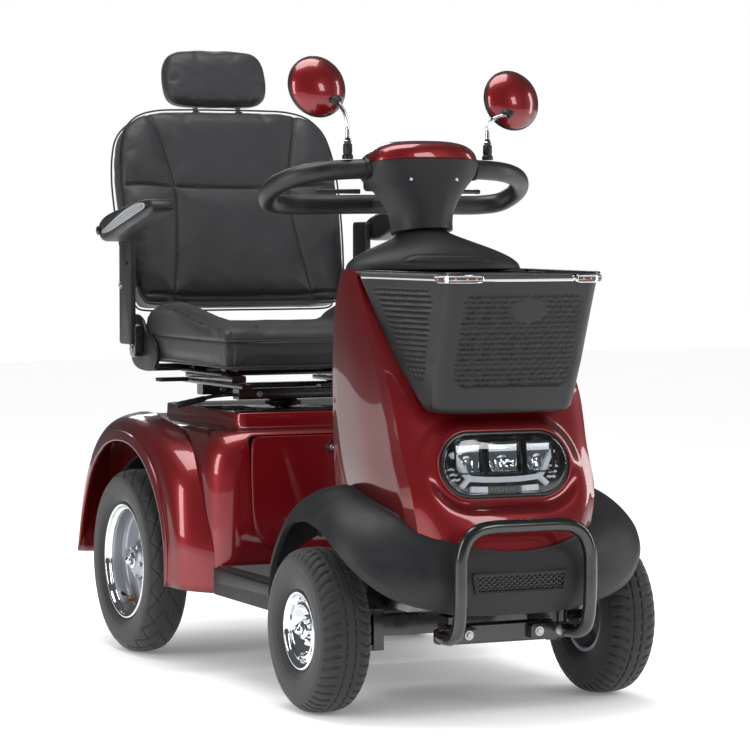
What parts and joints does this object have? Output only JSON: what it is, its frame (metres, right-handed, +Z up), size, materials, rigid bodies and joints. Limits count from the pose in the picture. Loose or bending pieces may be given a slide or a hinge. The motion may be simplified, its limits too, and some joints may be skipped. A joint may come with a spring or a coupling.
{
  "type": "four-wheel mobility scooter",
  "caption": "Mobility scooter with a captain's seat, looped tiller handlebar, front basket, fenders and bumper hoop; steers, swivels, slides and reclines.",
  "frame": {"origin": "centre of the footprint, on the surface the tyres stand on", "axes": "+X to the rider's left, -Y forwards, +Z up"},
  "size_m": [0.8, 1.7396, 1.3918],
  "materials": {
    "battery_case": "matte",
    "black_plastic": "satin",
    "black_steel": "satin",
    "chrome": "polished",
    "clear_lens": "polished",
    "dark_plastic": "matte",
    "grip_rubber": "matte",
    "red_lens": "gloss",
    "red_paint": "gloss",
    "seat_foam": "satin",
    "tyre_rubber": "matte",
    "wheel_alloy": "satin"
  },
  "bodies": {
    "chassis": {"chassis_frame": "black_steel", "front_axle_beam": "black_steel", "rear_transaxle": "black_steel", "drive_motor": "black_steel", "battery_right": "battery_case", "battery_left": "battery_case", "motor_controller": "black_steel", "floor_pan": "dark_plastic", "rear_body_shell": "red_paint", "tail_lamp": "red_lens", "rear_fender_right": "red_paint", "rear_fender_left": "red_paint", "front_shroud": "red_paint", "front_fender": "dark_plastic", "grille": "black_plastic", "headlight_housing": "black_plastic", "headlight_lens": "clear_lens", "basket": "black_plastic", "basket_trim": "chrome", "turn_lamp_right": "clear_lens", "turn_lamp_left": "clear_lens", "dash_dome": "dark_plastic", "bumper_bar": "black_steel", "seat_post": "black_steel"},
    "battery_door": {"battery_door": "red_paint"},
    "door_lock": {"door_lock": "chrome"},
    "tie_rod": {"tie_rod": "black_steel"},
    "steering": {"steering_column": "black_steel", "console_housing": "dark_plastic", "console_cap": "red_paint", "handlebar": "grip_rubber"},
    "ignition_key": {"ignition_key": "chrome"},
    "speed_dial": {"speed_dial": "black_plastic"},
    "horn_button": {"horn_button": "red_lens"},
    "seat_swivel": {"swivel_frame": "black_steel"},
    "swivel_lever": {"swivel_lever": "black_steel"},
    "seat_slide": {"seat_pan": "black_steel", "seat_cushion": "seat_foam"},
    "slide_lever": {"slide_lever": "black_steel"},
    "backrest": {"backrest_pad": "seat_foam", "backrest_frame": "black_steel"},
    "headrest": {"headrest": "seat_foam"},
    "knuckle_right": {"knuckle_right": "black_steel"},
    "front_wheel_right": {"front_tyre_right": "tyre_rubber", "front_rim_right": "wheel_alloy"},
    "rear_wheel_right": {"rear_tyre_right": "tyre_rubber", "rear_rim_right": "wheel_alloy"},
    "throttle_lever_right": {"throttle_lever_right": "black_plastic"},
    "mirror_arm_right": {"mirror_arm_right": "chrome"},
    "mirror_shell_right": {"mirror_shell_right": "red_paint"},
    "armrest_right": {"armrest_right": "black_plastic"},
    "knuckle_left": {"knuckle_left": "black_steel"},
    "front_wheel_left": {"front_tyre_left": "tyre_rubber", "front_rim_left": "wheel_alloy"},
    "rear_wheel_left": {"rear_tyre_left": "tyre_rubber", "rear_rim_left": "wheel_alloy"},
    "throttle_lever_left": {"throttle_lever_left": "black_plastic"},
    "mirror_arm_left": {"mirror_arm_left": "chrome"},
    "mirror_shell_left": {"mirror_shell_left": "red_paint"},
    "armrest_left": {"armrest_left": "black_plastic"}
  },
  "joints": [
    {"name": "rear_wheel_right_spin", "type": "hinge", "parent": "chassis", "child": "rear_wheel_right", "pos_m": [-0.3385, 0.4202, 0.207], "axis": [1, 0, 0], "continuous": true},
    {"name": "knuckle_right_steer", "type": "hinge", "parent": "chassis", "child": "knuckle_right", "pos_m": [-0.225, -0.5548, 0.165], "axis": [0, 0, 1], "range_deg": [-24, 24]},
    {"name": "front_wheel_right_spin", "type": "hinge", "parent": "knuckle_right", "child": "front_wheel_right", "pos_m": [-0.3185, -0.5548, 0.165], "axis": [1, 0, 0], "continuous": true},
    {"name": "rear_wheel_left_spin", "type": "hinge", "parent": "chassis", "child": "rear_wheel_left", "pos_m": [0.3385, 0.4202, 0.207], "axis": [1, 0, 0], "continuous": true},
    {"name": "knuckle_left_steer", "type": "hinge", "parent": "chassis", "child": "knuckle_left", "pos_m": [0.225, -0.5548, 0.165], "axis": [0, 0, 1], "range_deg": [-24, 24]},
    {"name": "front_wheel_left_spin", "type": "hinge", "parent": "knuckle_left", "child": "front_wheel_left", "pos_m": [0.3185, -0.5548, 0.165], "axis": [1, 0, 0], "continuous": true},
    {"name": "tiller_turn", "type": "hinge", "parent": "chassis", "child": "steering", "pos_m": [0, -0.3548, 1], "axis": [0, 0.1604, 0.9871], "range_deg": [-26, 26]},
    {"name": "tie_rod_slide", "type": "slide", "parent": "chassis", "child": "tie_rod", "axis": [1, 0, 0], "range_m": [-0.04, 0.04]},
    {"name": "throttle_right_squeeze", "type": "hinge", "parent": "steering", "child": "throttle_lever_right", "pos_m": [-0.104, -0.2808, 1.04], "axis": [0, 0, -1], "range_deg": [0, 14], "stiffness_Nm_per_rad": 0.6},
    {"name": "mirror_right_swivel", "type": "hinge", "parent": "steering", "child": "mirror_arm_right", "pos_m": [-0.161, -0.3448, 1.106], "axis": [0, 0, 1], "range_deg": [-30, 30]},
    {"name": "mirror_right_tilt", "type": "hinge", "parent": "mirror_arm_right", "child": "mirror_shell_right", "pos_m": [-0.194, -0.3708, 1.223], "axis": [1, 0, 0], "range_deg": [-8, 8]},
    {"name": "throttle_left_squeeze", "type": "hinge", "parent": "steering", "child": "throttle_lever_left", "pos_m": [0.104, -0.2808, 1.04], "axis": [0, 0, 1], "range_deg": [0, 14], "stiffness_Nm_per_rad": 0.6},
    {"name": "mirror_left_swivel", "type": "hinge", "parent": "steering", "child": "mirror_arm_left", "pos_m": [0.161, -0.3448, 1.106], "axis": [0, 0, 1], "range_deg": [-30, 30]},
    {"name": "mirror_left_tilt", "type": "hinge", "parent": "mirror_arm_left", "child": "mirror_shell_left", "pos_m": [0.194, -0.3708, 1.201], "axis": [1, 0, 0], "range_deg": [-8, 8]},
    {"name": "ignition_turn", "type": "hinge", "parent": "steering", "child": "ignition_key", "pos_m": [-0.05, -0.2503, 1.057], "axis": [0, 1, 0], "range_deg": [0, 60]},
    {"name": "speed_turn", "type": "hinge", "parent": "steering", "child": "speed_dial", "pos_m": [0, -0.2503, 1.057], "axis": [0, 1, 0], "range_deg": [-135, 135]},
    {"name": "horn_press", "type": "slide", "parent": "steering", "child": "horn_button", "axis": [0, -1, 0], "range_m": [0, 0.0012], "stiffness_N_per_m": 400},
    {"name": "battery_door_fold", "type": "hinge", "parent": "chassis", "child": "battery_door", "pos_m": [0, -0.0048, 0.262], "axis": [1, 0, 0], "range_deg": [0, 85]},
    {"name": "door_lock_turn", "type": "hinge", "parent": "battery_door", "child": "door_lock", "pos_m": [-0.051, -0.0048, 0.485], "axis": [0, 1, 0], "range_deg": [0, 90]},
    {"name": "seat_swivel_turn", "type": "hinge", "parent": "chassis", "child": "seat_swivel", "pos_m": [0, 0.3842, 0.577], "axis": [0, 0, 1], "continuous": true},
    {"name": "swivel_lever_lift", "type": "hinge", "parent": "seat_swivel", "child": "swivel_lever", "pos_m": [-0.085, 0.3502, 0.585], "axis": [-0.5269, 0.8499, 0], "range_deg": [0, 6], "stiffness_Nm_per_rad": 4},
    {"name": "seat_slide_move", "type": "slide", "parent": "seat_swivel", "child": "seat_slide", "axis": [0, 1, 0], "range_m": [-0.08, 0.08]},
    {"name": "slide_lever_lift", "type": "hinge", "parent": "seat_slide", "child": "slide_lever", "pos_m": [-0.19, 0.5202, 0.611], "axis": [0, 1, 0], "range_deg": [0, 15], "stiffness_Nm_per_rad": 2},
    {"name": "backrest_recline", "type": "hinge", "parent": "seat_slide", "child": "backrest", "pos_m": [0, 0.5802, 0.68], "axis": [1, 0, 0], "range_deg": [-12, 36]},
    {"name": "headrest_raise", "type": "slide", "parent": "backrest", "child": "headrest", "axis": [0, 0.2924, 0.9563], "range_m": [0, 0.06]},
    {"name": "armrest_right_lift", "type": "hinge", "parent": "backrest", "child": "armrest_right", "pos_m": [-0.299, 0.6072, 0.955], "axis": [-1, 0, 0], "range_deg": [0, 95]},
    {"name": "armrest_left_lift", "type": "hinge", "parent": "backrest", "child": "armrest_left", "pos_m": [0.299, 0.6072, 0.955], "axis": [-1, 0, 0], "range_deg": [0, 95]}
  ],
  "couplings": [
    {"joint": "knuckle_right_steer", "follows": "tiller_turn", "ratio": 0.7778},
    {"joint": "knuckle_left_steer", "follows": "tiller_turn", "ratio": 0.7778},
    {"joint": "tie_rod_slide", "follows": "tiller_turn", "m_per_rad": -0.07}
  ]
}
